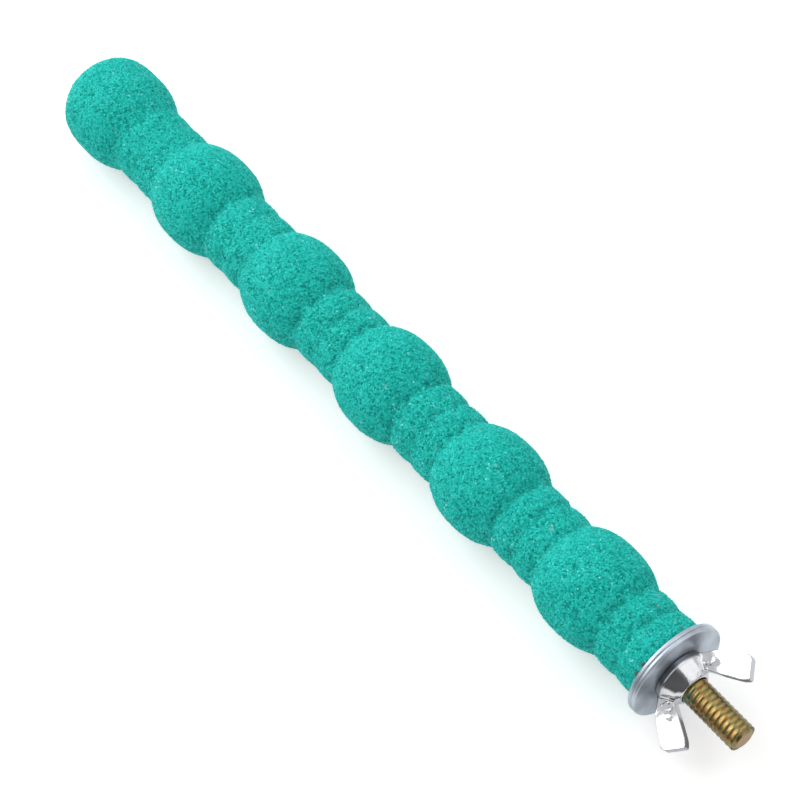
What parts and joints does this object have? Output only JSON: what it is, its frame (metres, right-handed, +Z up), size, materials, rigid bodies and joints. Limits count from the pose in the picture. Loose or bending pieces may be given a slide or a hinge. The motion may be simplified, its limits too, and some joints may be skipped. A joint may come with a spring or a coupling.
{
  "type": "bird perch",
  "caption": "Beaded wooden bird perch with a coloured sand coat, clamped to a cage wall by a stud, two wide washers and a wing nut.",
  "frame": {"origin": "on the stick's axis, in the clamp plane: the outer face of the inner washer", "axes": "+X along the axis, out along the free stud; +Z up; the stick runs to -X"},
  "size_m": [0.2216, 0.0238, 0.0234],
  "materials": {
    "wood": "raw turned hardwood",
    "sand": "coloured quartz sand set in glue, rough with small glints",
    "yellow_zinc": "yellow passivated zinc, faintly iridescent",
    "zinc_plate": "satin zinc plate",
    "bright_zinc": "bright zinc plate"
  },
  "bodies": {
    "perch": {"wood_core": "wood", "sand_coat": "sand", "hanger_bolt": "yellow_zinc"},
    "inner_washer": {"inner_washer": "zinc_plate"},
    "outer_washer": {"outer_washer": "zinc_plate"},
    "wing_nut": {"wing_nut": "bright_zinc"}
  },
  "joints": [
    {"name": "inner_washer_spin", "type": "hinge", "parent": "perch", "child": "inner_washer", "pos_m": [0, 0, 0], "axis": [1, 0, 0], "continuous": true},
    {"name": "outer_washer_slide", "type": "slide", "parent": "perch", "child": "outer_washer", "axis": [1, 0, 0], "range_m": [0, 0.01333]},
    {"name": "wing_nut_turn", "type": "hinge", "parent": "outer_washer", "child": "wing_nut", "pos_m": [0.001, 0, 0], "axis": [1, 0, 0], "range_deg": [0, 3780]}
  ],
  "couplings": [
    {"joint": "wing_nut_turn", "follows": "outer_washer_slide", "rad_per_m": 4947.4}
  ]
}
